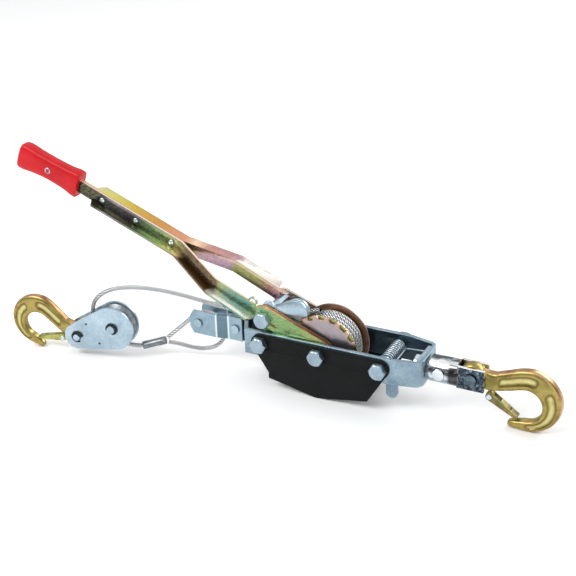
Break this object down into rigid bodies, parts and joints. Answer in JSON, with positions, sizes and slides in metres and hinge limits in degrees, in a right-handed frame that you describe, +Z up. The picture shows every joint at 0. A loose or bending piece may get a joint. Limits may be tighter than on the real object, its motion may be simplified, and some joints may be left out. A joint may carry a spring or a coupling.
{
  "type": "come along winch",
  "caption": "Hand-powered wire rope puller with a ratchet drum, forked lever handle, swivel hook and a pulley block with its own hook.",
  "frame": {"origin": "on the surface the winch lies on, under the middle of its outline without the rope", "axes": "+Z up, +X from the pulley block to the swivel hook, -Y towards the side with the bolt heads"},
  "size_m": [0.6242, 0.1108, 0.218],
  "materials": {
    "clear_zinc": "satin clear zinc plate, faintly blue",
    "yellow_zinc": "iridescent yellow zinc plate running from gold to green and pink",
    "hook_zinc": "forged steel under olive-gold zinc with copper rims",
    "black_paint": "black satin paint",
    "bright_steel": "polished bright steel",
    "rope_steel": "galvanised stranded wire rope",
    "black_steel": "phosphated black spring steel",
    "aluminium": "grey cast aluminium",
    "red_plastic": "red moulded vinyl"
  },
  "bodies": {
    "frame": {"frame_strap": "clear_zinc", "nose_backing_plate": "clear_zinc", "side_cover_front": "black_paint", "side_cover_rear": "black_paint", "left_bolt": "clear_zinc", "left_nut": "clear_zinc", "axle_bolt": "clear_zinc", "axle_nut": "clear_zinc", "right_bolt": "clear_zinc", "right_nut": "clear_zinc", "left_spacer_tube": "clear_zinc", "fork_plate_front": "clear_zinc", "fork_plate_rear": "clear_zinc", "rope_anchor_pin": "clear_zinc", "tail_rivet": "clear_zinc", "lock_pawl_spring": "bright_steel", "rope_supply": "rope_steel", "rope_return": "rope_steel", "rope_eye_loop": "rope_steel", "ferrule": "aluminium"},
    "drum": {"ratchet_wheel": "yellow_zinc", "drum_flange_front": "yellow_zinc", "drum_core": "clear_zinc", "wound_rope": "rope_steel", "drum_flange_rear": "yellow_zinc"},
    "handle": {"handle_arm_front": "yellow_zinc", "handle_arm_rear": "yellow_zinc", "hub_liner": "yellow_zinc", "handle_rivet_1": "clear_zinc", "handle_rivet_2": "clear_zinc", "handle_rivet_3": "clear_zinc", "grip": "red_plastic", "grip_screw": "bright_steel", "pawl_bolt": "clear_zinc", "pawl_nut": "clear_zinc"},
    "drive_pawl": {"drive_pawl": "clear_zinc"},
    "lock_pawl": {"lock_pawl": "clear_zinc"},
    "swivel": {"swivel_clevis": "bright_steel", "swivel_stem": "bright_steel", "swivel_cross_pin": "bright_steel", "clevis_pin": "bright_steel"},
    "hook_large": {"hook_large": "hook_zinc", "latch_rivet_large": "bright_steel"},
    "latch_large": {"latch_large": "hook_zinc"},
    "block": {"block_cheek_front": "clear_zinc", "block_cheek_rear": "clear_zinc", "hook_pin": "clear_zinc", "sheave_pin": "clear_zinc", "hook_pin_clip": "black_steel", "sheave_pin_clip": "black_steel", "rope_on_sheave": "rope_steel"},
    "sheave": {"sheave": "aluminium"},
    "hook_small": {"hook_small": "hook_zinc", "latch_rivet_small": "bright_steel"},
    "latch_small": {"latch_small": "hook_zinc"}
  },
  "joints": [
    {"name": "handle_swing", "type": "hinge", "parent": "frame", "child": "handle", "pos_m": [0.06717, 0.01282, 0.049], "axis": [0, 1, 0], "range_deg": [0, 100]},
    {"name": "drive_pawl_lift", "type": "hinge", "parent": "handle", "child": "drive_pawl", "pos_m": [0.00318, 0.01282, 0.07447], "axis": [0, -1, 0], "range_deg": [0, 20], "stiffness_Nm_per_rad": 0.05, "springref_deg": -28.65},
    {"name": "drum_turn", "type": "hinge", "parent": "frame", "child": "drum", "pos_m": [0.06717, 0.01282, 0.049], "axis": [0, 1, 0], "range_deg": [-4850, 0]},
    {"name": "lock_pawl_release", "type": "hinge", "parent": "frame", "child": "lock_pawl", "pos_m": [0.13487, 0.01282, 0.049], "axis": [0, -1, 0], "range_deg": [0, 18], "stiffness_Nm_per_rad": 0.05, "springref_deg": -28.65},
    {"name": "swivel_turn", "type": "hinge", "parent": "frame", "child": "swivel", "pos_m": [0.17, 0.01282, 0.047], "axis": [1, 0, 0], "continuous": true},
    {"name": "hook_large_swing", "type": "hinge", "parent": "swivel", "child": "hook_large", "pos_m": [0.22217, 0.01282, 0.047], "axis": [0, 1, 0], "range_deg": [-75, 75]},
    {"name": "latch_large_open", "type": "hinge", "parent": "hook_large", "child": "latch_large", "pos_m": [0.24016, 0.01282, 0.0295], "axis": [0, -1, 0], "range_deg": [0, 24], "stiffness_Nm_per_rad": 0.02, "springref_deg": -34.38},
    {"name": "block_travel", "type": "slide", "parent": "frame", "child": "block", "axis": [1, 0, 0], "range_m": [-1.5, 0], "deforming": ["rope_supply", "rope_return"]},
    {"name": "sheave_spin", "type": "hinge", "parent": "block", "child": "sheave", "pos_m": [-0.17327, -0.0285, 0.03793], "axis": [-0.1736, 0.9848, 0], "continuous": true},
    {"name": "hook_small_swing", "type": "hinge", "parent": "block", "child": "hook_small", "pos_m": [-0.21513, -0.03588, 0.0232], "axis": [-0.1736, 0.9848, 0], "range_deg": [-40, 50]},
    {"name": "latch_small_open", "type": "hinge", "parent": "hook_small", "child": "latch_small", "pos_m": [-0.23624, -0.0396, 0.01603], "axis": [-0.1736, 0.9848, 0], "range_deg": [0, 24], "stiffness_Nm_per_rad": 0.02, "springref_deg": -34.38}
  ],
  "couplings": [
    {"joint": "drum_turn", "follows": "block_travel", "rad_per_m": 56.34}
  ]
}
